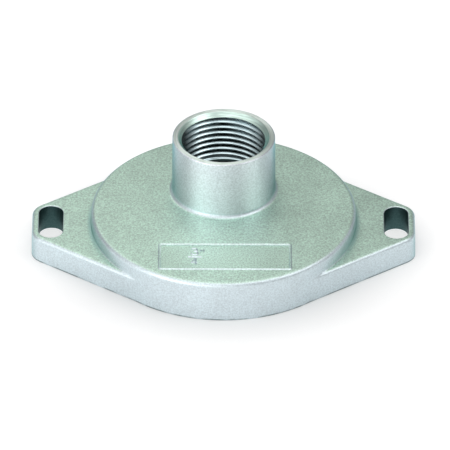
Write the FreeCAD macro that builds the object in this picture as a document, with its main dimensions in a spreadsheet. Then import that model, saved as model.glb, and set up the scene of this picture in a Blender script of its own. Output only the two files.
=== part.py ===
import FreeCAD, Part
import math
import os
import Sketcher
from FreeCAD import Vector

# A bolt-on conduit hub, die-cast in one piece: a flange with two slotted ears, a low round
# boss on it, and an off-centre collar with a tapped bore for the conduit.
# The origin is the boss centre on the mounting face. +X runs through the two slots,
# +Y points from the boss centre to the collar, and +Z points out along the collar.

# Driving sizes, in millimetres and degrees
SIZES = {
    "boss_diameter": 76.2,
    "boss_rise": 4.4,
    "boss_edge_radius": 1.3,
    "boss_wall": 4.1,
    "boss_roof": 3.3,
    "recess_corner_chamfer": 1.5,
    "flange_thickness": 7.9,
    "flange_edge_radius": 1.1,
    "wall_draft": 1.0,
    "ear_land": 0.46,
    "ear_tuck": 0.15,
    "slot_gap": 7.95,
    "slot_width": 6.9,
    "slot_length": 16.0,
    "slot_edge_chamfer": 0.35,
    "collar_offset": 10.35,
    "collar_height": 18.0,
    "collar_draft": 0.5,
    "collar_base_radius": 1.3,
    "rim_width": 1.3,
    "rim_chamfer": 0.3,
    "thread_diameter": 23.8,
    "thread_mouth_chamfer": 1.2,
    "throat_ledge": 1.4,
    "throat_length": 5.6,
    "throat_chamfer": 1.0,
    "panel_length": 38.1,
    "panel_width": 13.3,
    "panel_margin": 0.3,
    "panel_shift": 0.45,
    "panel_ridge_width": 0.8,
    "panel_ridge_height": 0.3,
    "panel_depth": 0.15,
}

# How close two heights or radii have to be to count as the same, when edges are picked
TOLERANCE = 0.01

# The least volume, in cubic millimetres, that a feature has to add or take away
LEAST_CHANGE = 0.01


def number_of(value):
    return value.number if isinstance(value, Size) else value


def text_of(value):
    return value.text if isinstance(value, Size) else str(value)


class Size:
    """A size as its present number and as the expression that ties it to the sheet."""

    def __init__(self, number, text):
        self.number = number
        self.text = text

    def __add__(self, other):
        return Size(self.number + number_of(other), f"({self.text} + {text_of(other)})")

    def __sub__(self, other):
        return Size(self.number - number_of(other), f"({self.text} - {text_of(other)})")

    def __mul__(self, other):
        return Size(self.number * number_of(other), f"({self.text} * {text_of(other)})")

    def __truediv__(self, other):
        return Size(self.number / number_of(other), f"({self.text} / {text_of(other)})")

    def __neg__(self):
        return Size(-self.number, f"(0 - {self.text})")


def tangent(angle):
    return Size(math.tan(math.radians(angle.number)), f"tan({angle.text})")


def square_root(value):
    return Size(math.sqrt(value.number), f"sqrt({value.text})")


def make_sheet(doc):
    """Write the driving sizes to a sheet and return them as tied sizes, by name."""
    sheet = doc.addObject("Spreadsheet::Sheet", "Sizes")
    for row, (name, value) in enumerate(SIZES.items(), start=1):
        sheet.set(f"A{row}", name)
        sheet.set(f"B{row}", str(value))
        sheet.setAlias(f"B{row}", name)
    doc.recompute()
    return {name: Size(sheet.get(name), f"Sizes.{name}") for name in SIZES}


def derive(size):
    """Add the radii, heights and places that follow from the driving sizes."""
    draft = tangent(size["wall_draft"])
    size["boss_radius"] = size["boss_diameter"] / 2
    size["boss_height"] = size["flange_thickness"] + size["boss_rise"]
    size["boss_top_radius"] = size["boss_radius"] - size["boss_height"] * draft
    size["recess_radius"] = size["boss_radius"] - size["boss_wall"]
    size["recess_height"] = size["boss_height"] - size["boss_roof"]
    size["recess_top_radius"] = size["recess_radius"] - size["recess_height"] * draft
    size["slot_radius"] = size["slot_width"] / 2
    size["slot_reach"] = size["boss_radius"] + size["slot_gap"] + size["slot_radius"]
    size["slot_rise"] = size["slot_length"] / 2 - size["slot_radius"]
    ear_wall = size["slot_edge_chamfer"] + size["ear_land"] + size["flange_edge_radius"]
    size["ear_corner_radius"] = size["slot_radius"] + ear_wall + size["flange_thickness"] * draft
    size["thread_radius"] = size["thread_diameter"] / 2
    size["mouth_radius"] = size["thread_radius"] + size["thread_mouth_chamfer"]
    size["collar_radius"] = size["mouth_radius"] + size["rim_width"] + size["rim_chamfer"]
    size["rim_height"] = size["boss_height"] + size["collar_height"]
    size["throat_radius"] = size["thread_radius"] - size["throat_ledge"]
    size["shoulder_height"] = size["recess_height"] + size["throat_length"]


def new_sketch(body, name, plane, height=None):
    """Add a sketch on one of the body's origin planes, lifted by height if one is given."""
    sketch = body.newObject("Sketcher::SketchObject", name)
    support = next(item for item in body.Origin.OriginFeatures if item.Role == plane)
    sketch.AttachmentSupport = [(support, "")]
    sketch.MapMode = "FlatFace"
    if height is not None:
        sketch.setExpression("AttachmentOffset.Base.z", height.text)
    return sketch


def tie(sketch, kind, *place, value):
    """Add a dimension to a sketch and bind it to the sheet."""
    index = sketch.addConstraint(Sketcher.Constraint(kind, *place, number_of(value)))
    name = f"{kind}_{index}"
    sketch.renameConstraint(index, name)
    sketch.setExpression(f"Constraints.{name}", text_of(value))


def tie_point(sketch, curve, end, point):
    """Fix the place of one end, or of a centre, from the sketch origin."""
    across, up = point
    for kind, value, axis in (("DistanceX", across, -2), ("DistanceY", up, -1)):
        if value == 0:
            sketch.addConstraint(Sketcher.Constraint("PointOnObject", curve, end, axis))
        else:
            tie(sketch, kind, curve, end, value=value)


def draw_polygon(sketch, points):
    """Draw a closed profile of straight lines through tied points."""
    corners = [Vector(number_of(across), number_of(up), 0) for across, up in points]
    first = sketch.GeometryCount
    count = len(corners)
    for step, corner in enumerate(corners):
        sketch.addGeometry(Part.LineSegment(corner, corners[(step + 1) % count]), False)
    for step, point in enumerate(points):
        line = first + step
        following = first + (step + 1) % count
        sketch.addConstraint(Sketcher.Constraint("Coincident", line, 2, following, 1))
        tie_point(sketch, line, 1, point)


def draw_tangent_loop(sketch, arcs):
    """Draw a closed loop of arcs joined by straight lines that are tangent to them.

    Each arc is (centre, radius, start angle, end angle), counter-clockwise in radians.
    """
    first = sketch.GeometryCount
    count = len(arcs)
    curves = []
    for (across, up), radius, start, end in arcs:
        centre = Vector(number_of(across), number_of(up), 0)
        circle = Part.Circle(centre, Vector(0, 0, 1), radius.number)
        curves.append(Part.ArcOfCircle(circle, start, end))
    for step, curve in enumerate(curves):
        following = curves[(step + 1) % count]
        sketch.addGeometry(curve, False)
        sketch.addGeometry(Part.LineSegment(curve.EndPoint, following.StartPoint), False)
    for step, (centre, radius, start, end) in enumerate(arcs):
        arc = first + 2 * step
        line = arc + 1
        following = first + 2 * ((step + 1) % count)
        sketch.addConstraint(Sketcher.Constraint("Tangent", arc, 2, line, 1))
        sketch.addConstraint(Sketcher.Constraint("Tangent", line, 2, following, 1))
        tie_point(sketch, arc, 3, centre)
        tie(sketch, "Radius", arc, value=radius)


def draw_rectangle(sketch, left, right, low, high):
    draw_polygon(sketch, [(left, low), (right, low), (right, high), (left, high)])


def pad(body, sketch, name, length):
    feature = body.newObject("PartDesign::Pad", name)
    feature.Profile = sketch
    feature.setExpression("Length", length.text)
    return feature


def turn(body, sketch, name, kind, axis):
    """Add or cut a full turn of a sketch about one of the sketch's own axes."""
    feature = body.newObject(f"PartDesign::{kind}", name)
    feature.Profile = sketch
    feature.ReferenceAxis = (sketch, [axis])
    feature.Angle = 360
    return feature


def pocket(body, sketch, name, depth=None):
    """Cut a sketch down by depth, or all the way through both ways if none is given."""
    feature = body.newObject("PartDesign::Pocket", name)
    feature.Profile = sketch
    if depth is None:
        feature.Type = "ThroughAll"
        feature.Midplane = True
    else:
        feature.setExpression("Length", depth.text)
    return feature


def dress_edges(doc, body, name, kind, measure, amount, wanted):
    """Fillet or chamfer the edges of the body so far for which wanted(edge) is true."""
    doc.recompute()
    base = body.Tip
    edges = [f"Edge{n}" for n, edge in enumerate(base.Shape.Edges, start=1) if wanted(edge)]
    feature = body.newObject(f"PartDesign::{kind}", name)
    feature.Base = (base, edges)
    feature.setExpression(measure, amount.text)


def round_edges(doc, body, name, radius, wanted):
    dress_edges(doc, body, name, "Fillet", "Radius", radius, wanted)


def chamfer_edges(doc, body, name, width, wanted):
    dress_edges(doc, body, name, "Chamfer", "Size", width, wanted)


def lies_at(edge, height):
    """True if the whole edge lies level at that height."""
    box = edge.BoundBox
    return abs(box.ZMin - height.number) < TOLERANCE and abs(box.ZMax - height.number) < TOLERANCE


def is_circle(edge, radius, height):
    """True if the edge is a level circle of that radius at that height."""
    round_edge = isinstance(edge.Curve, Part.Circle)
    return round_edge and abs(edge.Curve.Radius - radius.number) < TOLERANCE and lies_at(edge, height)


def add_flange(doc, body, size):
    """The flange plate: ears that follow their slots, drawn in to just inside the boss wall."""
    sketch = new_sketch(body, "flange_outline", "XY_Plane")
    middle = size["boss_radius"] - size["ear_tuck"]
    corner = size["ear_corner_radius"]
    reach = size["slot_reach"]
    rise = size["slot_rise"]
    span = math.hypot(reach.number, rise.number)
    lean = math.atan2(rise.number, reach.number)
    side = lean + math.acos((middle.number - corner.number) / span)
    half = math.pi
    draw_tangent_loop(sketch, [
        ((reach, rise), corner, 0, side),
        ((0, 0), middle, side, half - side),
        ((-reach, rise), corner, half - side, half),
        ((-reach, -rise), corner, half, half + side),
        ((0, 0), middle, half + side, 2 * half - side),
        ((reach, -rise), corner, 2 * half - side, 2 * half),
    ])
    plate = pad(body, sketch, "flange_plate", size["flange_thickness"])
    doc.recompute()
    sides = [f"Face{n}" for n, face in enumerate(plate.Shape.Faces, start=1)
             if face.BoundBox.ZLength > TOLERANCE]
    draft = body.newObject("PartDesign::Draft", "flange_draft")
    draft.Base = (plate, sides)
    draft.NeutralPlane = (sketch.AttachmentSupport[0][0], [""])
    draft.setExpression("Angle", size["wall_draft"].text)
    round_edges(doc, body, "flange_edge", size["flange_edge_radius"],
                lambda edge: lies_at(edge, size["flange_thickness"]))


def add_boss(doc, body, size):
    """The round boss, from the mounting face up, with a drafted wall and a rounded top edge."""
    sketch = new_sketch(body, "boss_profile", "XZ_Plane")
    height = size["boss_height"]
    top = size["boss_top_radius"]
    draw_polygon(sketch, [(0, 0), (size["boss_radius"], 0), (top, height), (0, height)])
    turn(body, sketch, "boss", "Revolution", "V_Axis")
    round_edges(doc, body, "boss_edge", size["boss_edge_radius"],
                lambda edge: is_circle(edge, top, height))


def add_collar(doc, body, size):
    """The off-centre collar, drafted, with a broken rim and a fillet at its base."""
    sketch = new_sketch(body, "collar_profile", "YZ_Plane")
    axis = size["collar_offset"]
    radius = size["collar_radius"]
    rim = size["rim_height"]
    chamfer = size["rim_chamfer"]
    foot = size["boss_height"] - size["boss_roof"] / 2
    slope = tangent(size["collar_draft"])
    shoulder = rim - chamfer
    draw_polygon(sketch, [
        (axis, foot),
        (axis + radius + (shoulder - foot) * slope, foot),
        (axis + radius, shoulder),
        (axis + radius - chamfer, rim),
        (axis, rim),
    ])
    add_axis(sketch, axis)
    turn(body, sketch, "collar", "Revolution", "Axis0")
    base = radius + (shoulder - size["boss_height"]) * slope
    round_edges(doc, body, "collar_base", size["collar_base_radius"],
                lambda edge: is_circle(edge, base, size["boss_height"]))


def add_axis(sketch, across):
    """Draw the upright construction line that an off-centre profile turns about."""
    line = sketch.addGeometry(Part.LineSegment(Vector(across.number, 0, 0),
                                               Vector(across.number, 1, 0)), True)
    tie_point(sketch, line, 1, (across, 0))
    sketch.addConstraint(Sketcher.Constraint("Vertical", line))
    sketch.addConstraint(Sketcher.Constraint("Distance", line, 1))


def cut_recess(doc, body, size):
    """The hollow under the boss, open at the mounting face."""
    sketch = new_sketch(body, "recess_profile", "XZ_Plane")
    roof = size["recess_height"]
    top = size["recess_top_radius"]
    draw_polygon(sketch, [(0, 0), (size["recess_radius"], 0), (top, roof), (0, roof)])
    turn(body, sketch, "recess", "Groove", "V_Axis")
    chamfer_edges(doc, body, "recess_corner", size["recess_corner_chamfer"],
                  lambda edge: is_circle(edge, top, roof))


def cut_bore(doc, body, size):
    """The conduit bore: a chamfered mouth, the tapped length, a shoulder and the throat."""
    sketch = new_sketch(body, "bore_profile", "YZ_Plane")
    axis = size["collar_offset"]
    rim = size["rim_height"]
    roof = size["recess_height"]
    thread = size["thread_radius"]
    throat = size["throat_radius"]
    shoulder = size["shoulder_height"]
    draw_polygon(sketch, [
        (axis, roof),
        (axis + throat, roof),
        (axis + throat, shoulder),
        (axis + thread, shoulder),
        (axis + thread, rim - size["thread_mouth_chamfer"]),
        (axis + size["mouth_radius"], rim),
        (axis, rim),
    ])
    add_axis(sketch, axis)
    turn(body, sketch, "bore", "Groove", "Axis0")
    chamfer_edges(doc, body, "throat_edge", size["throat_chamfer"],
                  lambda edge: is_circle(edge, throat, roof))


def cut_slots(doc, body, size):
    """One screw slot through each ear, running across the flange."""
    sketch = new_sketch(body, "slot_outline", "XY_Plane")
    radius = size["slot_radius"]
    reach = size["slot_reach"]
    rise = size["slot_rise"]
    for across in (-reach, reach):
        draw_tangent_loop(sketch, [
            ((across, rise), radius, 0, math.pi),
            ((across, -rise), radius, math.pi, 2 * math.pi),
        ])
    pocket(body, sketch, "slots")

    def rims_slot(edge):
        gaps = [math.hypot(abs(end.X) - reach.number, abs(end.Y) - rise.number) for end in edge.Vertexes]
        return all(abs(gap - radius.number) < TOLERANCE for gap in gaps)

    chamfer_edges(doc, body, "slot_edge", size["slot_edge_chamfer"],
                  lambda edge: lies_at(edge, size["flange_thickness"]) and rims_slot(edge))


def add_panel(body, size):
    """The marking panel: a raised frame around a slightly sunk field, near the front of the boss."""
    ridge = size["panel_ridge_width"]
    half = size["panel_length"] / 2
    left = size["panel_shift"] - half
    right = size["panel_shift"] + half
    corner = size["boss_top_radius"] - size["boss_edge_radius"] - size["panel_margin"]
    front = -square_root(corner * corner - right * right)
    back = front + size["panel_width"]
    field = new_sketch(body, "panel_field", "XY_Plane", size["boss_height"])
    draw_rectangle(field, left + ridge, right - ridge, front + ridge, back - ridge)
    pocket(body, field, "panel_recess", size["panel_depth"])
    frame = new_sketch(body, "panel_frame", "XY_Plane", size["boss_height"])
    draw_rectangle(frame, left, right, front, back)
    draw_rectangle(frame, left + ridge, right - ridge, front + ridge, back - ridge)
    pad(body, frame, "panel_ridge", size["panel_ridge_height"])


def make_hub(doc, size):
    body = doc.addObject("PartDesign::Body", "hub_body")
    body.Label = "hub_body"
    add_flange(doc, body, size)
    add_boss(doc, body, size)
    add_collar(doc, body, size)
    cut_recess(doc, body, size)
    cut_bore(doc, body, size)
    cut_slots(doc, body, size)
    add_panel(body, size)
    doc.recompute()
    return body


def check(doc, body):
    """Stop if any object failed, or if a feature changed the solid the wrong way or not at all."""
    for item in doc.Objects:
        if "Invalid" in item.State or "Error" in item.State:
            raise RuntimeError(f"{item.Name} failed: {item.State}")
    if body.Shape.isNull() or not body.Shape.isValid() or len(body.Shape.Solids) != 1:
        raise RuntimeError("hub_body is not one valid solid")
    volume = 0
    for feature in body.Group:
        if not feature.isDerivedFrom("PartDesign::Feature"):
            continue
        change = feature.Shape.Volume - volume
        adds = feature.TypeId in ("PartDesign::Pad", "PartDesign::Revolution")
        cuts = feature.TypeId in ("PartDesign::Pocket", "PartDesign::Groove")
        if abs(change) < LEAST_CHANGE or (adds and change < 0) or (cuts and change > 0):
            raise RuntimeError(f"{feature.Name} changed the volume by {change}")
        volume = feature.Shape.Volume


def main():
    doc = FreeCAD.newDocument("conduit_hub")
    size = make_sheet(doc)
    derive(size)
    hub = make_hub(doc, size)
    check(doc, hub)
    os.makedirs("parts", exist_ok=True)
    hub.Shape.exportStep(f"parts/{hub.Label}.step")


main()
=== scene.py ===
import math

import bmesh
import bpy
import numpy as np
from mathutils import Matrix, Vector


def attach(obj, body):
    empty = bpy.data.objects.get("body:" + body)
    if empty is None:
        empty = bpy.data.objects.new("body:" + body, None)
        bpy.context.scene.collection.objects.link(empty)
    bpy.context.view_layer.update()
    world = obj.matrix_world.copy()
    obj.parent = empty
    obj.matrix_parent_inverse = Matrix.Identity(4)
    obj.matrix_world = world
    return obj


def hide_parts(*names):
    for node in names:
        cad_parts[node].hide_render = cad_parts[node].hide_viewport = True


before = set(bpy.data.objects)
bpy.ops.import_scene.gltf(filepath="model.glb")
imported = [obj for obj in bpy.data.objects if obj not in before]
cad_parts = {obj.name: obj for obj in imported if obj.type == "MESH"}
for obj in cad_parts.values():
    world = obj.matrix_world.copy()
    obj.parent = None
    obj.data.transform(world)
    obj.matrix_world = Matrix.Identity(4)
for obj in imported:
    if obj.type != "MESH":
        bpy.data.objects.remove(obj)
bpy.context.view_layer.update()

# A bolt-on conduit hub, die-cast and shot-blasted, with a machined thread in its collar.
# Lengths below are in millimetres and angles in degrees; the mesh is scaled to metres once.
MM = 0.001

# Flange, its ears and their slots
FLANGE_TOP = 7.9
FLANGE_EDGE = 1.1
FLANGE_RADIUS = 37.95
EAR_RADIUS = 5.498
WALL_DRAFT = 1.0
SLOT_X = 49.5
SLOT_END_Y = 4.55
SLOT_RADIUS = 3.45
SLOT_LIP = 0.35
BASE_BREAK = 0.15

# Boss
BOSS_RADIUS = 38.1
BOSS_TOP = 12.3
BOSS_EDGE = 1.3
COVE = 0.35

# Collar and its bore
COLLAR_Y = 10.35
COLLAR_RADIUS = 14.7
COLLAR_TOP = 30.3
COLLAR_DRAFT = 0.5
COLLAR_FOOT = 1.3
RIM_EDGE = 0.3
MOUTH_RADIUS = 13.1
BORE_RADIUS = 11.9
BORE_TOP = 29.1
BORE_DRAFT = 1 / 64
BORE_LEAD = 0.6
SHOULDER = 14.6
THROAT_RADIUS = 10.5
THROAT_EDGE = 1.0

# Hollow under the boss
RECESS_RADIUS = 34.0
RECESS_ROOF = 9.0
RECESS_CORNER = 1.5

# Tapered pipe thread, 14 turns to the inch
THREAD_PITCH = 1.814
THREAD_DEPTH = 1.15
THREAD_ROOT_FLAT = 0.08
THREAD_FLANK = 30.0
THREAD_CREST_BREAK = 0.28
THREAD_TAPER = 1 / 32
THREAD_START = 29.9
THREAD_START_ANGLE = 62.0
THREAD_END = 15.0
THREAD_FADE_IN = 0.5
THREAD_FADE_OUT = 1.0
THREAD_STEPS = 120

# Marking panel
PANEL_X = (-18.6, 19.5)
PANEL_Y = (-30.6, -17.3)
PANEL_CORNER = 0.9
RIDGE_WIDTH = 0.9
RIDGE_CREST = 0.14
RIDGE_HEIGHT = 0.28
RIDGE_ROOT = 0.4
FIELD_DEPTH = 0.15
FIELD_CORNER = 0.5

# Trade size cast into the panel: a stacked 3 over 4 with an inch mark, as strokes of points.
# A digit's points are shares of its own width and height.
STROKE_WIDTH = 0.6
STROKE_HEIGHT = 0.26
DIGIT_SIZE = (1.7, 2.9)
DIGIT_THREE_TOP = [(0.0, 0.86), (0.12, 1.03), (0.9, 1.06), (0.98, 0.56), (0.4, 0.54)]
DIGIT_THREE_FOOT = [(0.4, 0.54), (1.08, 0.54), (1.05, -0.05), (0.1, -0.07), (-0.02, 0.18)]
DIGIT_FOUR_STEM = [(0.72, 0.0), (0.72, 1.0)]
DIGIT_FOUR_ARM = [(0.62, 0.98), (0.0, 0.32), (1.0, 0.32)]
NUMERATOR_AT = (-9.1, -22.8)
DENOMINATOR_AT = (-9.1, -27.7)
FRACTION_BAR = [(-10.1, -23.95), (-6.2, -23.95)]
INCH_MARKS = [[(-6.4, -21.2), (-6.4, -20.6)], [(-5.6, -21.2), (-5.6, -20.6)]]

# Painted shade fades in along spans, each from where it starts to where it is full.
# Painted shade in the crease goes by the distance from the crease round the boss and along the flange,
# the painted contact shadow along the foot by height.
CREASE_SHADE = (1.4, 0.2)
CREASE_AT_EARS = (34.0, 37.5)
FOOT_SHADE = (0.6, 0.2)

# Painted shade in the bore goes by the depth in the thread, by height, and by the distance behind the
# collar's axis
ROOT_SHADE_DEPTH = (0.3, 0.7)
SHADE_AT_BOTTOM = (15.1, 14.95)
SHADE_AT_SIDES = (9.0, 5.0)

# Turns painted lighter, where light falls on them and the painted shade is lifted, go by height, and by
# the distances beside and behind the axis together
FIRST_TURN = (27.0, 28.0)
LIT_TURNS_HEIGHT = (19.0, 25.0)
LIT_TURNS_BESIDE_BACK = (13.0, 16.0)

# Anisotropic rotation that lays a highlight's wide side across the turning marks
ACROSS_MARKS = 0.25

# Edges that turn by more than this stay crisp
SHARP_EDGE = 21.0

# Camera, fitted to the photograph's 450-pixel frame
CAMERA_TARGET = (0.0, 0.0, 10.0)
CAMERA_AZIMUTH = 0.08
CAMERA_ELEVATION = 34.319
CAMERA_ROLL = 0.111
CAMERA_DISTANCE = 2500.0
CAMERA_FOCAL_PIXELS = 8725.0
CAMERA_RIGHT = 0.40
CAMERA_UP = -2.64
FRAME_PIXELS = 450
SENSOR = 36.0

# Softboxes: azimuth from the front (left is negative), elevation, distance, size and power in watts
SOFTBOXES = {
    "key": (-58, 45, 600, (400, 400), 0.66),
    "fill": (72, 47, 600, (340, 340), 0.93),
    "front": (0, 52, 600, (300, 300), 0.34),
    "low": (-12, 14, 700, (500, 250), 0.72),
    "low_left": (-46, 14, 700, (520, 250), 1.42),
    "top": (0, 80, 600, (300, 300), 0.45),
    "top_back": (180, 65, 250, (150, 150), 0.056),
    "top_left": (-115, 52, 550, (300, 300), 0.18),
    "top_right": (115, 52, 550, (300, 300), 0.04),
    "back_left": (-150, 45, 300, (150, 150), 0.055),
}
ROOM_LIGHT = 0.32

# Floor: white paper a hair below the mounting face, with a glow of its own that fades out in an oval
# under the hub and just in front of it as a painted shadow, and is stronger under the slots as painted
# light
FLOOR_HALF = 4000.0
FLOOR_Z = -0.02
FLOOR_PAPER = 0.60
FLOOR_GLOW = 0.50
GLOW_SHIFT_Y = 6.0
GLOW_SQUEEZE_X = 0.8
GLOW_REACH = (18.0, 54.0)
SLOT_GLOW = 1.2
SLOT_GLOW_REACH = (7.0, 4.5)


def tan_degrees(angle):
    return math.tan(math.radians(angle))


# Meshes

def mesh_object(name, points, faces):
    """A new object from points in millimetres."""
    mesh = bpy.data.meshes.new(name)
    mesh.from_pydata((np.asarray(points) * MM).tolist(), [], faces)
    mesh.validate()
    thing = bpy.data.objects.new(name, mesh)
    bpy.context.scene.collection.objects.link(thing)
    return thing


def grid_faces(rings, sides, closed_rings):
    """Quads between neighbouring rings of points; closed_rings joins the last ring to the first."""
    faces = []
    for ring in range(rings if closed_rings else rings - 1):
        low = ring * sides
        high = (ring + 1) % rings * sides
        for side in range(sides):
            after = (side + 1) % sides
            faces.append((low + side, low + after, high + after, high + side))
    return faces


def tube_faces(rings, sides):
    """The faces of a tube of rings, closed at both ends."""
    first = tuple(reversed(range(sides)))
    last = tuple(range((rings - 1) * sides, rings * sides))
    return grid_faces(rings, sides, closed_rings=False) + [first, last]


def set_outward(thing):
    """Turns the faces of a closed mesh to face outwards."""
    shape = bmesh.new()
    shape.from_mesh(thing.data)
    bmesh.ops.remove_doubles(shape, verts=shape.verts, dist=1e-7)
    bmesh.ops.recalc_face_normals(shape, faces=shape.faces)
    shape.to_mesh(thing.data)
    shape.free()
    return thing


def bake_modifiers(thing):
    """The object's mesh becomes what its modifiers make of it."""
    graph = bpy.context.evaluated_depsgraph_get()
    mesh = bpy.data.meshes.new_from_object(thing.evaluated_get(graph))
    thing.modifiers.clear()
    thing.data = mesh


def combine(target, tool, operation):
    """Joins the tool's shape to the target, or cuts it out, and removes the tool."""
    boolean = target.modifiers.new("combine", "BOOLEAN")
    boolean.solver = "MANIFOLD"
    boolean.operation = operation
    boolean.object = tool
    bake_modifiers(target)
    bpy.data.objects.remove(tool)


# The casting's skin

def arc(centre, radius, start, end, steps):
    """Points on an arc in plan, angles in radians."""
    angles = np.linspace(start, end, steps + 1)
    return np.array(centre) + radius * np.stack([np.cos(angles), np.sin(angles)], axis=1)


def side_angle():
    """The angle from +X of the normal of the straight side between an ear and the boss."""
    reach = math.hypot(SLOT_X, SLOT_END_Y)
    lean = math.atan2(SLOT_END_Y, SLOT_X)
    return lean + math.acos((FLANGE_RADIUS - EAR_RADIUS) / reach)


def flange_outline():
    """The flange's outline at the mounting face, anticlockwise from +X."""
    corner = arc((SLOT_X, SLOT_END_Y), EAR_RADIUS, 0, side_angle(), 28)
    round_part = arc((0, 0), FLANGE_RADIUS, side_angle(), math.pi / 2, 32)
    end = np.linspace((SLOT_X + EAR_RADIUS, 0), corner[0], 6)
    side = np.linspace(corner[-1], round_part[0], 33)
    quarter = np.concatenate([end[:-1], corner[:-1], side[:-1], round_part])
    half = np.concatenate([quarter, quarter[-2::-1] * (-1, 1)])
    return np.concatenate([half, half[-2:0:-1] * (1, -1)])


def plan_distance(x, y):
    """How far a point lies outside the flange's outline in plan; negative inside."""
    x = np.abs(x)
    y = np.abs(y)
    lean = side_angle()
    end = x - SLOT_X - EAR_RADIUS
    side = x * math.cos(lean) + y * math.sin(lean) - FLANGE_RADIUS
    corner_turn = np.arctan2(y - SLOT_END_Y, x - SLOT_X)
    corner = np.hypot(x - SLOT_X, y - SLOT_END_Y) - EAR_RADIUS
    corner = np.where((corner_turn > 0) & (corner_turn < lean), corner, -np.inf)
    round_part = np.where(np.arctan2(y, x) > lean, np.hypot(x, y) - FLANGE_RADIUS, -np.inf)
    return np.max([end, side, corner, round_part], axis=0)


def rounded_edge(side, top, radius):
    """How far a point lies outside a wall and a top that meet in a rounded edge."""
    side = side + radius
    top = top + radius
    outside = np.hypot(np.maximum(side, 0), np.maximum(top, 0))
    return np.minimum(np.maximum(side, top), 0) + outside - radius


def coved_union(first, second, radius):
    """How far a point lies outside two shapes with a cove between them."""
    near = np.hypot(np.maximum(radius - first, 0), np.maximum(radius - second, 0))
    return np.maximum(radius, np.minimum(first, second)) - near


def bisect(inside, outside, is_outside):
    """Where the skin lies between values inside it and values outside it."""
    for _ in range(40):
        middle = (inside + outside) / 2
        out = is_outside(middle)
        outside = np.where(out, middle, outside)
        inside = np.where(out, inside, middle)
    return (inside + outside) / 2


def boss_radius(z):
    return BOSS_RADIUS - z * tan_degrees(WALL_DRAFT)


def outer_rings():
    """Rings from the mounting face up over the ears and the boss wall to the boss's flat top."""
    outline = flange_outline()
    reach = np.hypot(*outline.T)[:, None]
    across, along = (outline.T / reach.T)[:, :, None]
    draft = tan_degrees(WALL_DRAFT)

    def ear_reach(inset):
        return bisect(reach * 0, reach, lambda r: plan_distance(r * across, r * along) > -inset)

    # The cove shrinks to almost nothing where no ear stands out from the boss
    stand_out = (reach - BOSS_RADIUS) / FLANGE_EDGE
    cove = COVE * np.clip(stand_out, 0.02, 1)

    def is_outside(z, radius):
        ear_side = plan_distance(radius * across, radius * along) + z * draft
        ear = rounded_edge(ear_side, z - FLANGE_TOP, FLANGE_EDGE)
        boss = rounded_edge(radius - boss_radius(z), z - BOSS_TOP, BOSS_EDGE)
        return coved_union(ear, boss, cove) > 0

    # Where each stretch of the profile starts, as height less radius, which always grows
    edge_start = FLANGE_TOP - FLANGE_EDGE
    boss_start = BOSS_TOP - BOSS_EDGE
    boss_foot = boss_radius(FLANGE_TOP)
    keys = np.concatenate([
        BASE_BREAK - np.maximum(reach, BOSS_RADIUS),
        edge_start - np.maximum(ear_reach(edge_start * draft), boss_radius(edge_start)),
        FLANGE_TOP - ear_reach(FLANGE_TOP * draft + FLANGE_EDGE),
        FLANGE_TOP - boss_foot - cove,
        FLANGE_TOP - boss_foot + cove,
        boss_start - boss_radius(boss_start) + reach * 0,
        BOSS_TOP - boss_radius(BOSS_TOP) + BOSS_EDGE + reach * 0,
    ], axis=1)
    # Stretches that have no room of their own still get this much
    least_gap = 0.04 * np.arange(keys.shape[1])
    keys = np.maximum.accumulate(keys - least_gap, axis=1) + least_gap

    levels = [keys[:, :1]]
    for stretch, steps in enumerate((5, 9, 10, 8, 5, 12)):
        start = keys[:, stretch:stretch + 1]
        end = keys[:, stretch + 1:stretch + 2]
        levels.append(start + (end - start) * np.arange(1, steps + 1) / steps)
    levels = np.concatenate(levels, axis=1)

    low = np.full_like(levels, -1.0)
    high = np.full_like(levels, BOSS_TOP + 1)
    z = bisect(low, high, lambda z: is_outside(z, z - levels))
    radius = z - levels
    return np.stack([radius * across, radius * along, z], axis=2).transpose(1, 0, 2)


def turned_ring(angles, radius, z, centre_y=0.0):
    """A level ring of points at the given angles round an upright axis."""
    x = radius * np.cos(angles)
    y = radius * np.sin(angles) + centre_y
    return np.stack([x, y, np.full_like(x, z)], axis=1)


def rounding(radius_at, z_at, corner_radius, start, end, steps):
    """Points (radius, height) on an arc about (radius_at, z_at), angles in degrees."""
    turns = np.radians(np.linspace(start, end, steps + 1))
    return [(radius_at + corner_radius * math.cos(t), z_at + corner_radius * math.sin(t))
            for t in turns]


def collar_radius(z):
    return COLLAR_RADIUS + (COLLAR_TOP - RIM_EDGE - z) * tan_degrees(COLLAR_DRAFT)


def bore_radius(z):
    return BORE_RADIUS - (BORE_TOP - z) * BORE_DRAFT


def collar_profile():
    """Points (radius, height) from the boss's top over the rim and down the bore."""
    foot_z = BOSS_TOP + COLLAR_FOOT
    foot = rounding(collar_radius(foot_z) + COLLAR_FOOT, foot_z, COLLAR_FOOT, 270, 180, 10)
    wall = [(collar_radius(z), z) for z in np.linspace(foot_z, COLLAR_TOP - RIM_EDGE, 6)]
    rim = rounding(COLLAR_RADIUS - RIM_EDGE, COLLAR_TOP - RIM_EDGE, RIM_EDGE, 0, 90, 5)
    lead_top = SHOULDER + BORE_LEAD
    bore = [(bore_radius(z), z) for z in np.linspace(BORE_TOP, lead_top, 4)]
    throat = [
        (bore_radius(lead_top) - BORE_LEAD, SHOULDER),
        (THROAT_RADIUS, SHOULDER),
        (THROAT_RADIUS, RECESS_ROOF + THROAT_EDGE),
        (THROAT_RADIUS + THROAT_EDGE, RECESS_ROOF),
    ]
    return foot + wall[1:] + rim[1:] + [(MOUTH_RADIUS, COLLAR_TOP)] + bore + throat


def recess_profile():
    """Points (radius, height) from the roof of the hollow down to the mounting face."""
    centre = RECESS_RADIUS - RECESS_CORNER
    corner = rounding(centre, RECESS_ROOF - RECESS_CORNER, RECESS_CORNER, 90, 0, 6)
    break_start = (RECESS_RADIUS, BASE_BREAK)
    break_end = (RECESS_RADIUS + BASE_BREAK, 0)
    return corner + [break_start, break_end]


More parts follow.
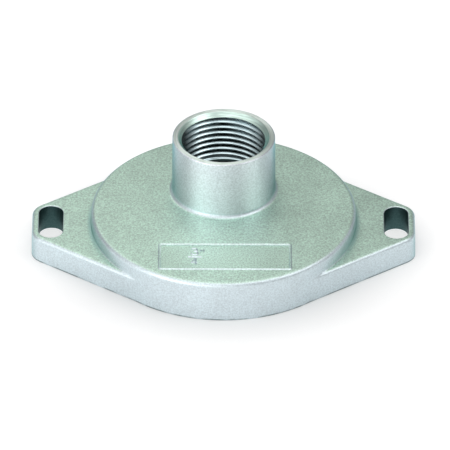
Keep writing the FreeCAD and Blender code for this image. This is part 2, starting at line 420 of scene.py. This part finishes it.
def make_casting():
    """The whole casting as one closed skin of rings, before its slots, thread and marking."""
    outer = outer_rings()
    boss_angles = np.arctan2(outer[-1, :, 1], outer[-1, :, 0])
    collar_angles = np.arctan2(outer[-1, :, 1] - COLLAR_Y, outer[-1, :, 0])
    collar = [turned_ring(collar_angles, r, z, COLLAR_Y) for r, z in collar_profile()]
    recess = [turned_ring(boss_angles, r, z) for r, z in recess_profile()]
    base = outer[0] * (1, 1, 0)
    base *= 1 - BASE_BREAK / np.hypot(base[:, :1], base[:, 1:2])
    rings = np.concatenate([outer, collar, recess, [base]])
    faces = grid_faces(len(rings), rings.shape[1], closed_rings=True)
    return mesh_object("hub_casting", rings.reshape(-1, 3), faces)


# Slots, thread and marking

def slot_cutter(x):
    """A slot's inside, with a rounded lip at both faces of the flange."""
    half_turn = np.linspace(0, math.pi, 25)
    far = np.stack([np.cos(half_turn), np.sin(half_turn), half_turn * 0 + SLOT_END_Y], axis=1)
    stadium = np.concatenate([far, far * (-1, -1, -1)])
    top_lip = rounding(SLOT_LIP, FLANGE_TOP - SLOT_LIP, SLOT_LIP, 180, 90, 6)
    profile = [(r, FLANGE_TOP - z) for r, z in reversed(top_lip)] + top_lip
    profile = [(SLOT_LIP, -1.0)] + profile + [(SLOT_LIP, FLANGE_TOP + 1)]
    rings = []
    for grown, z in profile:
        radius = SLOT_RADIUS + grown
        rings.append([(x + c * radius, s * radius + y, z) for c, s, y in stadium])
    faces = tube_faces(len(rings), len(stadium))
    return mesh_object("slot_cutter", np.reshape(rings, (-1, 3)), faces)


def thread_cutter():
    """The groove of the thread: a tapering V wound down the bore, fading in and out at its ends."""
    turns = (THREAD_START - THREAD_END) / THREAD_PITCH
    turn = np.linspace(0, turns, int(turns * THREAD_STEPS))
    z = THREAD_START - turn * THREAD_PITCH
    fade = np.clip(np.minimum(turn / THREAD_FADE_IN, (turns - turn) / THREAD_FADE_OUT), 0, 1)
    # The cutter stands clear of the bore's wall, and never gets quite flat
    clear = 0.06
    least_depth = 0.01
    root = BORE_RADIUS + THREAD_DEPTH - (BORE_TOP - z) * THREAD_TAPER
    inner = bore_radius(z) - clear
    depth = (root - inner) * fade + least_depth
    crest = np.minimum(THREAD_CREST_BREAK + clear, depth / 2)
    root_half = np.full_like(z, THREAD_ROOT_FLAT / 2)
    crest_half = root_half + (depth - crest) * tan_degrees(THREAD_FLANK)
    mouth_half = crest_half + crest
    corners = (
        (inner, -mouth_half), (inner + crest, -crest_half), (inner + depth, -root_half),
        (inner + depth, root_half), (inner + crest, crest_half), (inner, mouth_half),
    )
    angle = math.radians(THREAD_START_ANGLE) - 2 * math.pi * turn
    points = [np.stack([r * np.cos(angle), r * np.sin(angle) + COLLAR_Y, z + dz], axis=1)
              for r, dz in corners]
    rings = np.stack(points, axis=1)
    faces = tube_faces(len(rings), len(corners))
    return set_outward(mesh_object("thread_cutter", rings.reshape(-1, 3), faces))


def panel_loop(inset, radius):
    """The marking panel's outline drawn in by an inset, with rounded corners."""
    left = PANEL_X[0] + inset + radius
    right = PANEL_X[1] - inset - radius
    front = PANEL_Y[0] + inset + radius
    back = PANEL_Y[1] - inset - radius
    centres = ((right, back), (left, back), (left, front), (right, front))
    corners = [arc(centre, radius, quarter * math.pi / 2, (quarter + 1) * math.pi / 2, 6)
               for quarter, centre in enumerate(centres)]
    return np.concatenate(corners)


def panel_ring(inset, radius, z):
    loop = panel_loop(inset, radius)
    return np.column_stack([loop, np.full(len(loop), BOSS_TOP + z)])


def panel_frame():
    """The raised frame round the marking panel, a low ridge with sloping sides."""
    half = RIDGE_WIDTH / 2
    profile = [(-half, -RIDGE_ROOT), (-half, 0), (-RIDGE_CREST / 2, RIDGE_HEIGHT)]
    profile += [(-offset, z) for offset, z in reversed(profile)]
    rings = []
    for offset, z in profile:
        inset = half - offset
        rings.append(panel_ring(inset, PANEL_CORNER - inset, z))
    faces = grid_faces(len(rings), len(rings[0]), closed_rings=True)
    return set_outward(mesh_object("panel_frame", np.concatenate(rings), faces))


def field_cutter():
    """The sunk field inside the panel's frame."""
    rings = [panel_ring(RIDGE_WIDTH / 2, FIELD_CORNER, z) for z in (-FIELD_DEPTH, 1)]
    faces = tube_faces(len(rings), len(rings[0]))
    return mesh_object("field_cutter", np.concatenate(rings), faces)


def raised_stroke(points, smooth=False):
    """A low roof-shaped bead along points in the panel's field."""
    curve = bpy.data.curves.new("stroke", "CURVE")
    curve.dimensions = "3D"
    curve.bevel_depth = STROKE_WIDTH / 2 * MM
    curve.bevel_resolution = 0
    curve.use_fill_caps = True
    spline = curve.splines.new("NURBS" if smooth else "POLY")
    spline.points.add(len(points) - 1)
    for point, (x, y) in zip(spline.points, points):
        point.co = (x * MM, y * MM, 0, 1)
    spline.order_u = 3
    spline.use_endpoint_u = True
    drawn = bpy.data.objects.new("stroke", curve)
    mesh = bpy.data.meshes.new_from_object(drawn)
    bpy.data.objects.remove(drawn)
    flatten = Matrix.Diagonal((1, 1, STROKE_HEIGHT / (STROKE_WIDTH / 2), 1))
    lift = Matrix.Translation((0, 0, (BOSS_TOP - FIELD_DEPTH) * MM))
    mesh.transform(lift @ flatten)
    bead = bpy.data.objects.new("stroke", mesh)
    bpy.context.scene.collection.objects.link(bead)
    return set_outward(bead)


def digit(points, place):
    """A digit's stroke in the panel, from points that are shares of its size."""
    return [(place[0] + x * DIGIT_SIZE[0], place[1] + y * DIGIT_SIZE[1]) for x, y in points]


def add_trade_size(casting):
    for bowl in (DIGIT_THREE_TOP, DIGIT_THREE_FOOT):
        combine(casting, raised_stroke(digit(bowl, NUMERATOR_AT), smooth=True), "UNION")
    four = [digit(stroke, DENOMINATOR_AT) for stroke in (DIGIT_FOUR_STEM, DIGIT_FOUR_ARM)]
    for points in four + [FRACTION_BAR] + INCH_MARKS:
        combine(casting, raised_stroke(points), "UNION")


# Shader arithmetic

def add_node(tree, kind, inputs=(), **settings):
    """A shader node with its properties set and its inputs given a value or a link."""
    node = tree.nodes.new(kind)
    for name, value in settings.items():
        setattr(node, name, value)
    for name, value in dict(inputs).items():
        if isinstance(value, bpy.types.NodeSocket):
            tree.links.new(value, node.inputs[name])
        else:
            node.inputs[name].default_value = value
    return node


def maths(tree, operation, *values):
    """One step of arithmetic; each value is a number or a link."""
    return add_node(tree, "ShaderNodeMath", dict(enumerate(values)), operation=operation).outputs[0]


def times(tree, first, second):
    return maths(tree, "MULTIPLY", first, second)


def most(tree, first, second):
    return maths(tree, "MAXIMUM", first, second)


def vectors(tree, operation, *values):
    """One step of vector arithmetic; each value is a vector or a link."""
    node = add_node(tree, "ShaderNodeVectorMath", dict(enumerate(values)), operation=operation)
    gives_number = operation in ("LENGTH", "DISTANCE")
    return node.outputs["Value" if gives_number else "Vector"]


def split(tree, vector):
    """The X, Y and Z of a vector."""
    return add_node(tree, "ShaderNodeSeparateXYZ", {"Vector": vector}).outputs


def join(tree, x, y, z=0.0):
    """A vector from its X, Y and Z."""
    return add_node(tree, "ShaderNodeCombineXYZ", {"X": x, "Y": y, "Z": z}).outputs[0]


def remap(tree, value, start, end, low=0.0, high=1.0):
    """Turns what runs from start to end into what runs from low to high and stops there."""
    return add_node(tree, "ShaderNodeMapRange", {
        "Value": value, "From Min": start, "From Max": end, "To Min": low, "To Max": high,
    }).outputs["Result"]


def fade_in(tree, length, span, full=1.0):
    """What grows from 0 at the start of a span, in millimetres, to full at its end."""
    start, end = span
    return remap(tree, length, start * MM, end * MM, 0.0, full)


def grain(tree, place, size, detail=2.0):
    """Noise whose spots are about the given size in millimetres."""
    return add_node(tree, "ShaderNodeTexNoise", {
        "Vector": place, "Scale": 1 / (size * MM), "Detail": detail,
    }).outputs["Fac"]


def ramp(tree, noise, low, high):
    """Stretches the middle of a noise to run from low to high."""
    return remap(tree, noise, 0.3, 0.7, low, high)


def bumps(tree, height, strength, depth):
    """The surface's normal, tilted by a relief of a depth in millimetres."""
    return add_node(tree, "ShaderNodeBump", {
        "Strength": strength, "Distance": depth * MM, "Height": height,
    }).outputs["Normal"]


def mix_colours(tree, factor, first, second):
    """A colour that runs from the first to the second; each is a fixed colour or a link."""
    mix = add_node(tree, "ShaderNodeMix", {"Factor": factor}, data_type="RGBA")
    colours = [socket for socket in mix.inputs if socket.type == "RGBA"]
    for socket, colour in zip(colours, (first, second)):
        if isinstance(colour, bpy.types.NodeSocket):
            tree.links.new(colour, socket)
        else:
            socket.default_value = colour
    return next(socket for socket in mix.outputs if socket.type == "RGBA")


def speckled(tree, spots, colour, depth):
    """A colour that is darker or lighter from spot to spot by a share of itself."""
    dark = [level * (1 - depth) for level in colour] + [1]
    light = [level * (1 + depth) for level in colour] + [1]
    return mix_colours(tree, spots, dark, light)


# Places on the hub

def from_axis(tree, offset):
    """How far a point lies from the upright axis that its offset starts at."""
    return vectors(tree, "LENGTH", vectors(tree, "MULTIPLY", offset, (1, 1, 0)))


def from_collar_middle(tree, place):
    """A point's offset from the collar's axis at the mounting face."""
    return vectors(tree, "ADD", place, (0, -COLLAR_Y * MM, 0))


def around_collar(tree, place):
    """The direction in which a tool turns round the collar's axis."""
    return vectors(tree, "CROSS_PRODUCT", (0, 0, 1), from_collar_middle(tree, place))


def turning_marks(tree, place):
    """Fine rings that a tool leaves round the collar's axis, from 0 to 1, slowly changing across."""
    offset = from_collar_middle(tree, place)
    across, _, height = split(tree, offset)
    section = join(tree, from_axis(tree, offset), height, times(tree, across, 0.1))
    return ramp(tree, grain(tree, section, 0.35), 0.0, 1.0)


def boss_crease(tree, place):
    """How near a point is to the crease between the boss wall and the ears, where painted shade darkens
    it: 1 in it, 0 well away.
    """
    outward, _, height = split(tree, place)
    section = join(tree, from_axis(tree, place), height)
    crease = (boss_radius(FLANGE_TOP) * MM, FLANGE_TOP * MM, 0)
    near = fade_in(tree, vectors(tree, "DISTANCE", section, crease), CREASE_SHADE)
    at_ears = fade_in(tree, maths(tree, "ABSOLUTE", outward), CREASE_AT_EARS)
    return times(tree, near, at_ears)


def foot_shade_line(tree, place, upward):
    """A broken dark line of painted contact shadow along the walls' foot, where they meet the floor: 1
    in the line, 0 elsewhere.
    """
    on_wall = remap(tree, upward, -0.9, -0.5)
    line = times(tree, fade_in(tree, split(tree, place)["Z"], FOOT_SHADE), on_wall)
    return times(tree, line, remap(tree, grain(tree, place, 6.0), 0.35, 0.55))


def painted_shade_in_roots(tree, offset):
    """The painted shade in the thread's roots, least in the first turn and in the upper turns beside
    the back, which are painted lighter where light falls on them.
    """
    across, behind, height = split(tree, offset)
    # The radius with the bore's taper taken out, less the bore's own
    straight = maths(tree, "MULTIPLY_ADD", height, -BORE_DRAFT, from_axis(tree, offset))
    depth = maths(tree, "SUBTRACT", straight, bore_radius(0) * MM)
    beside_back = maths(tree, "ADD", maths(tree, "ABSOLUTE", across), behind)
    lit_share = times(tree, fade_in(tree, beside_back, LIT_TURNS_BESIDE_BACK), fade_in(tree, height, LIT_TURNS_HEIGHT))
    lit_share = most(tree, lit_share, fade_in(tree, height, FIRST_TURN, full=0.8))
    return times(tree, fade_in(tree, depth, ROOT_SHADE_DEPTH), remap(tree, lit_share, 0.0, 1.0, 1.0, 0.1))


def painted_shade_in_bore(tree, place):
    """Where painted shade darkens the bore: in the roots, along the lowest edge and at the bore's
    sides.
    """
    offset = from_collar_middle(tree, place)
    _, behind, height = split(tree, offset)
    lowest = fade_in(tree, height, SHADE_AT_BOTTOM)
    sides = fade_in(tree, behind, SHADE_AT_SIDES, full=0.92)
    return most(tree, painted_shade_in_roots(tree, offset), most(tree, lowest, sides))


def slot_light(tree, place):
    """The stronger glow under the far ends of the slots: painted light, where light falls through them.
    """
    far_ends = [(x * MM, SLOT_END_Y * MM, 0) for x in (-SLOT_X, SLOT_X)]
    left, right = [vectors(tree, "DISTANCE", place, end) for end in far_ends]
    return fade_in(tree, maths(tree, "MINIMUM", left, right), SLOT_GLOW_REACH, full=SLOT_GLOW)


# Materials

def new_material(name):
    """An empty material, its nodes, and where each point lies in its object's frame."""
    material = bpy.data.materials.new(name)
    material.use_nodes = True
    tree = material.node_tree
    tree.nodes.clear()
    place = add_node(tree, "ShaderNodeTexCoord").outputs["Object"]
    return material, tree, place


def finish_material(tree, shader):
    add_node(tree, "ShaderNodeOutputMaterial", {"Surface": shader.outputs[0]})


def finish_metal(tree, inputs):
    finish_material(tree, add_node(tree, "ShaderNodeBsdfPrincipled", {"Metallic": 1.0, **inputs}))


def blasted_grain(tree, place):
    """The shot-blasted surface: its spots, from 0 to 1, and its relief."""
    fine = grain(tree, place, 0.45)
    return ramp(tree, fine, 0.0, 1.0), bumps(tree, fine, strength=0.6, depth=0.06)


def cast_metal():
    """Shot-blasted aluminium: a fine even grain over faint clouding, with a painted greener tint where
    it looks up, for the greenish light it reflects there.
    """
    material, tree, place = new_material("cast_metal")
    # Painted shade for the crease round the boss
    crease_shade = (0.40, 0.60, 0.56, 1)
    # Painted contact shadow along the walls' foot
    foot_shade = (0.16, 0.21, 0.21, 1)
    normal = add_node(tree, "ShaderNodeNewGeometry").outputs["Normal"]
    upward = split(tree, normal)["Z"]
    spots, relief = blasted_grain(tree, place)
    clouds = grain(tree, place, 9.0, detail=4.0)
    # One metal in two tones: the top's greener tint is a painted tint of the greenish light that upward
    # faces reflect
    wall = speckled(tree, spots, (0.64, 0.72, 0.755), depth=0.12)
    top = speckled(tree, spots, (0.61, 0.78, 0.675), depth=0.23)
    tone = mix_colours(tree, remap(tree, upward, 0.75, 0.98), wall, top)
    clouded = add_node(tree, "ShaderNodeHueSaturation", {
        "Color": tone, "Value": ramp(tree, clouds, 0.96, 1.04),
    }).outputs["Color"]
    crease_shaded = mix_colours(tree, boss_crease(tree, place), clouded, crease_shade)
    finish_metal(tree, {
        "Base Color": mix_colours(tree, foot_shade_line(tree, place, upward), crease_shaded, foot_shade),
        "Specular Tint": (0.30, 0.60, 0.58, 1),
        "Roughness": ramp(tree, clouds, 0.46, 0.53),
        "Normal": relief,
    })
    return material


def collar_metal():
    """The collar's wall: blasted like the rest, over turning marks that draw its highlights upright."""
    material, tree, place = new_material("collar_metal")
    spots, relief = blasted_grain(tree, place)
    finish_metal(tree, {
        "Base Color": speckled(tree, spots, (0.71, 0.74, 0.79), depth=0.15),
        "Specular Tint": (0.05, 0.42, 0.40, 1),
        "Roughness": 0.40,
        "Anisotropic": 0.6,
        "Anisotropic Rotation": ACROSS_MARKS,
        "Tangent": around_collar(tree, place),
        "Normal": relief,
    })
    return material


def rim_metal():
    """The rim's face, turned bright: its marks light up at the front and the back."""
    material, tree, place = new_material("rim_metal")
    finish_metal(tree, {
        "Base Color": speckled(tree, turning_marks(tree, place), (0.78, 0.88, 0.82), depth=0.20),
        "Roughness": ramp(tree, grain(tree, place, 0.3), 0.38, 0.46),
        "Anisotropic": 0.8,
        "Anisotropic Rotation": ACROSS_MARKS,
        "Tangent": around_collar(tree, place),
    })
    return material


def mouth_metal():
    """The chamfer of the mouth, finely marked by the tool."""
    material, tree, place = new_material("mouth_metal")
    fine = grain(tree, place, 0.3)
    finish_metal(tree, {
        "Base Color": speckled(tree, turning_marks(tree, place), (0.54, 0.68, 0.62), depth=0.25),
        "Specular Tint": (0.4, 1.0, 1.0, 1),
        "Roughness": ramp(tree, fine, 0.34, 0.42),
        "Normal": bumps(tree, fine, strength=0.15, depth=0.03),
    })
    return material


def thread_metal():
    """The tapped thread: bright on its crests, with painted shade in its roots, along its lowest edge
    and at the bore's sides.
    """
    material, tree, place = new_material("thread_metal")
    crest = (0.58, 0.71, 0.74, 1)
    bore_shade = (0.015, 0.025, 0.025, 1)
    fine = grain(tree, place, 0.3)
    finish_metal(tree, {
        # Painted shade over the crest colour in the roots, at the bottom and at the sides
        "Base Color": mix_colours(tree, painted_shade_in_bore(tree, place), crest, bore_shade),
        "Roughness": ramp(tree, fine, 0.26, 0.34),
        "Normal": bumps(tree, fine, strength=0.15, depth=0.03),
    })
    return material


def slot_wall_shade():
    """Painted shade on the walls of the slots, as dark as the shade deep inside them."""
    material, tree, place = new_material("slot_wall_shade")
    dark = (0.05, 0.105, 0.105, 1)
    light = (0.08, 0.15, 0.15, 1)
    fine = grain(tree, place, 0.5)
    finish_metal(tree, {
        "Base Color": mix_colours(tree, ramp(tree, fine, 0.0, 1.0), dark, light),
        "Roughness": ramp(tree, fine, 0.40, 0.50),
        "Normal": bumps(tree, fine, strength=0.3, depth=0.05),
    })
    return material


def grey(level):
    return (level, level, level, 1)


def floor_white():
    """White paper that still takes the hub's shadow, with a glow that fades out under the hub in a
    painted shadow.
    """
    material, tree, place = new_material("floor_white")
    path = add_node(tree, "ShaderNodeLightPath").outputs
    seen = path["Is Camera Ray"]
    for ray in ("Is Glossy Ray", "Is Transmission Ray"):
        seen = most(tree, seen, path[ray])
    oval = vectors(tree, "MULTIPLY_ADD", place, (GLOW_SQUEEZE_X, 1, 1), (0, GLOW_SHIFT_Y * MM, 0))
    spread = fade_in(tree, vectors(tree, "LENGTH", oval), GLOW_REACH)
    lift = times(tree, seen, most(tree, spread, slot_light(tree, place)))
    paper = add_node(tree, "ShaderNodeBsdfDiffuse", {"Color": grey(FLOOR_PAPER)})
    glow = add_node(tree, "ShaderNodeEmission", {"Color": grey(FLOOR_GLOW), "Strength": lift})
    both = add_node(tree, "ShaderNodeAddShader", {0: paper.outputs[0], 1: glow.outputs[0]})
    finish_material(tree, both)
    return material


# The dressed hub

CAST, COLLAR, RIM, MOUTH, THREAD, SLOT = range(6)


def finish_of(face):
    """Which finish a face has, from where it lies."""
    x, y, z = face.center / MM
    slack = 0.05
    in_collar = math.hypot(x, y - COLLAR_Y) < COLLAR_RADIUS - RIM_EDGE
    if not in_collar and z > BOSS_TOP + COLLAR_FOOT:
        return COLLAR
    if in_collar and z > COLLAR_TOP - slack:
        return RIM
    if in_collar and z > BORE_TOP:
        return MOUTH
    if in_collar and z > RECESS_ROOF:
        return THREAD
    from_slot = math.hypot(abs(x) - SLOT_X, max(abs(y) - SLOT_END_Y, 0))
    upright = abs(face.normal.z) < 0.5
    if upright and from_slot < SLOT_RADIUS + slack:
        return SLOT
    return CAST


def dress(casting):
    casting.data.materials.clear()
    for make in (cast_metal, collar_metal, rim_metal, mouth_metal, thread_metal, slot_wall_shade):
        casting.data.materials.append(make())
    for face in casting.data.polygons:
        face.material_index = finish_of(face)
        face.use_smooth = True
    casting.data.set_sharp_from_angle(angle=math.radians(SHARP_EDGE))
    casting.modifiers.new("weighted_normals", "WEIGHTED_NORMAL").keep_sharp = True


def build_hub():
    casting = make_casting()
    for x in (-SLOT_X, SLOT_X):
        combine(casting, slot_cutter(x), "DIFFERENCE")
    combine(casting, thread_cutter(), "DIFFERENCE")
    combine(casting, field_cutter(), "DIFFERENCE")
    combine(casting, panel_frame(), "UNION")
    add_trade_size(casting)
    dress(casting)
    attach(casting, "root")
    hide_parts("hub_body")


# Studio

def build_floor():
    signs = ((-1, -1), (1, -1), (1, 1), (-1, 1))
    corners = [(x * FLOOR_HALF, y * FLOOR_HALF, FLOOR_Z) for x, y in signs]
    floor = mesh_object("floor", corners, [(0, 1, 2, 3)])
    floor.data.materials.append(floor_white())


def aim(azimuth, elevation):
    """The direction from the hub at an azimuth from the front and an elevation, in degrees."""
    turn = math.radians(azimuth)
    rise = math.radians(elevation)
    return Vector((math.sin(turn) * math.cos(rise), -math.cos(turn) * math.cos(rise), math.sin(rise)))


def softbox(name, direction, distance, size, power):
    """A rectangular area lamp at a distance in millimetres from the hub, facing it."""
    lamp = bpy.data.lights.new(name, "AREA")
    lamp.shape = "RECTANGLE"
    lamp.size, lamp.size_y = (side * MM for side in size)
    lamp.energy = power
    thing = bpy.data.objects.new(name, lamp)
    thing.location = direction * distance * MM
    thing.rotation_euler = direction.to_track_quat("Z", "Y").to_euler()
    thing.visible_camera = False
    bpy.context.scene.collection.objects.link(thing)


def build_light():
    world = bpy.data.worlds.new("studio")
    world.use_nodes = True
    room = world.node_tree.nodes["Background"].inputs
    room["Color"].default_value = (1, 1, 1, 1)
    room["Strength"].default_value = ROOM_LIGHT
    bpy.context.scene.world = world
    for name, (azimuth, elevation, distance, size, power) in SOFTBOXES.items():
        softbox(name, aim(azimuth, elevation), distance, size, power)


def build_camera():
    back = aim(CAMERA_AZIMUTH, CAMERA_ELEVATION)
    turn = math.radians(CAMERA_AZIMUTH)
    level = Vector((math.cos(turn), math.sin(turn), 0))
    right = Matrix.Rotation(math.radians(CAMERA_ROLL), 3, back) @ level
    up = back.cross(right)
    data = bpy.data.cameras.new("camera")
    data.sensor_width = SENSOR
    data.lens = CAMERA_FOCAL_PIXELS * SENSOR / FRAME_PIXELS
    data.clip_end = 100
    camera = bpy.data.objects.new("camera", data)
    place = Vector(CAMERA_TARGET) + CAMERA_DISTANCE * back + CAMERA_RIGHT * right + CAMERA_UP * up
    pointing = Matrix((right, up, back)).transposed().to_4x4()
    camera.matrix_world = Matrix.Translation(place * MM) @ pointing
    bpy.context.scene.collection.objects.link(camera)
    bpy.context.scene.camera = camera


build_hub()
build_floor()
build_light()
build_camera()
bpy.context.scene.view_settings.view_transform = "Standard"
